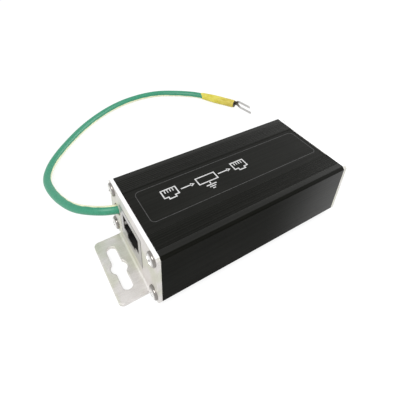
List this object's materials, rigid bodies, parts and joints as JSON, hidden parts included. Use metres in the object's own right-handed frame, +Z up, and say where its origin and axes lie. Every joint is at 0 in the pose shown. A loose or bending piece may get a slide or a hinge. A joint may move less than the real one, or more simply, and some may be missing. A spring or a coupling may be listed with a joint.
{
  "type": "network surge protector",
  "caption": "Black extruded aluminium box with a shielded network socket in each end plate, slotted mounting ears and an earth wire ending in a fork terminal.",
  "frame": {"origin": "under the middle of the box, in the plane on which the two mounting ears rest; the free earth wire isn't counted", "axes": "+X from the input socket to the output socket along the box, +Y across it towards the earth wire's side, +Z up"},
  "size_m": [0.108, 0.1133, 0.0229],
  "materials": {
    "black_anodised": "black anodised, satin",
    "plate_metal": "clear anodised sheet, satin",
    "screw_metal": "bright nickel",
    "board_laminate": "green solder mask",
    "film": "translucent film",
    "shield_metal": "bright tin",
    "socket_plastic": "moulded, satin",
    "contact_gilt": "gilt",
    "tube_ceramic": "glazed ceramic with metal rims",
    "diode_plastic": "moulded, matt",
    "resistor_body": "glazed chip",
    "wire_insulation": "green with a yellow stripe",
    "solder": "bright solder",
    "sleeve_plastic": "moulded, satin",
    "terminal_metal": "bright tin"
  },
  "bodies": {
    "root": {"housing": "black_anodised", "input_end_plate": "plate_metal", "output_end_plate": "plate_metal", "input_plate_screws": "screw_metal", "output_plate_screws": "screw_metal", "circuit_board": "board_laminate", "insulating_film": "film", "input_jack_shield": "shield_metal", "input_jack_moulding": "socket_plastic", "input_jack_carrier": "socket_plastic", "input_jack_contacts": "contact_gilt", "output_jack_shield": "shield_metal", "output_jack_moulding": "socket_plastic", "output_jack_carrier": "socket_plastic", "output_jack_contacts": "contact_gilt", "gas_discharge_tubes": "tube_ceramic", "transient_diodes": "diode_plastic", "decoupling_resistors": "resistor_body", "earth_wire": "wire_insulation", "earth_solder_joint": "solder", "terminal_sleeve": "sleeve_plastic", "fork_terminal": "terminal_metal"}
  },
  "joints": []
}
